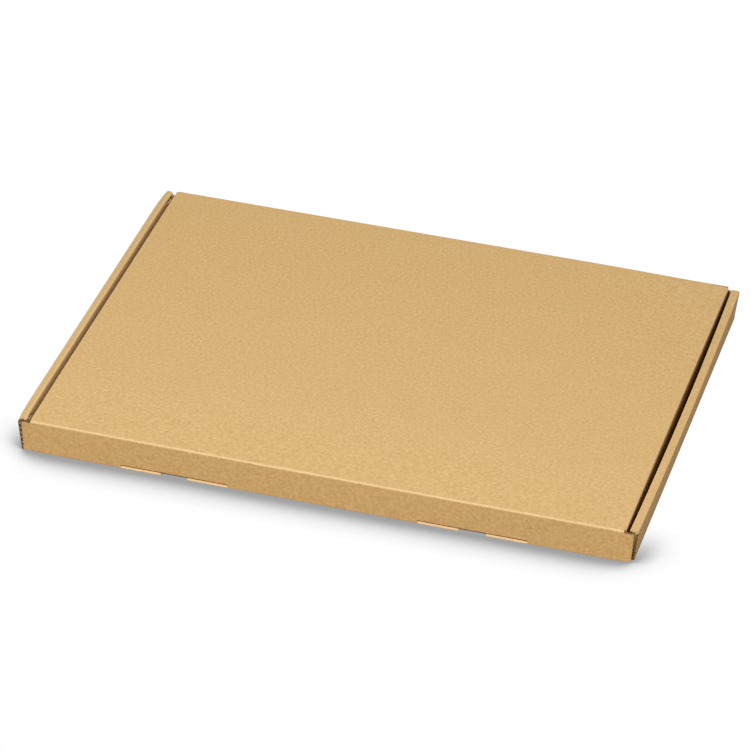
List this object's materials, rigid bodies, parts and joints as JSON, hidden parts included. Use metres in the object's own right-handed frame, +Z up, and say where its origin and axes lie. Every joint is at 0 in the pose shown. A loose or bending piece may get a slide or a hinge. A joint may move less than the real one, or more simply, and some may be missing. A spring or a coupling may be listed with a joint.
{
  "type": "flat mailer box",
  "caption": "Shallow folded mailer box of kraft corrugated board, with rolled-over side walls, locking tongues and a hinged tuck-in lid.",
  "frame": {"origin": "on the floor under the middle of the box's footprint, tongues included", "axes": "+X along the hinge fold (the long side), +Y from the hinge wall to the front wall, +Z up"},
  "size_m": [0.342, 0.2522, 0.02],
  "materials": {
    "tray_board": "uncoated brown kraft liner, matte, finely mottled",
    "lid_board": "uncoated brown kraft liner, matte, finely mottled"
  },
  "bodies": {
    "tray": {"tray": "tray_board"},
    "lid": {"lid": "lid_board"}
  },
  "joints": [
    {"name": "lid_hinge", "type": "hinge", "parent": "tray", "child": "lid", "pos_m": [0, -0.1231, 0.01925], "axis": [1, 0, 0], "range_deg": [0, 180]}
  ]
}
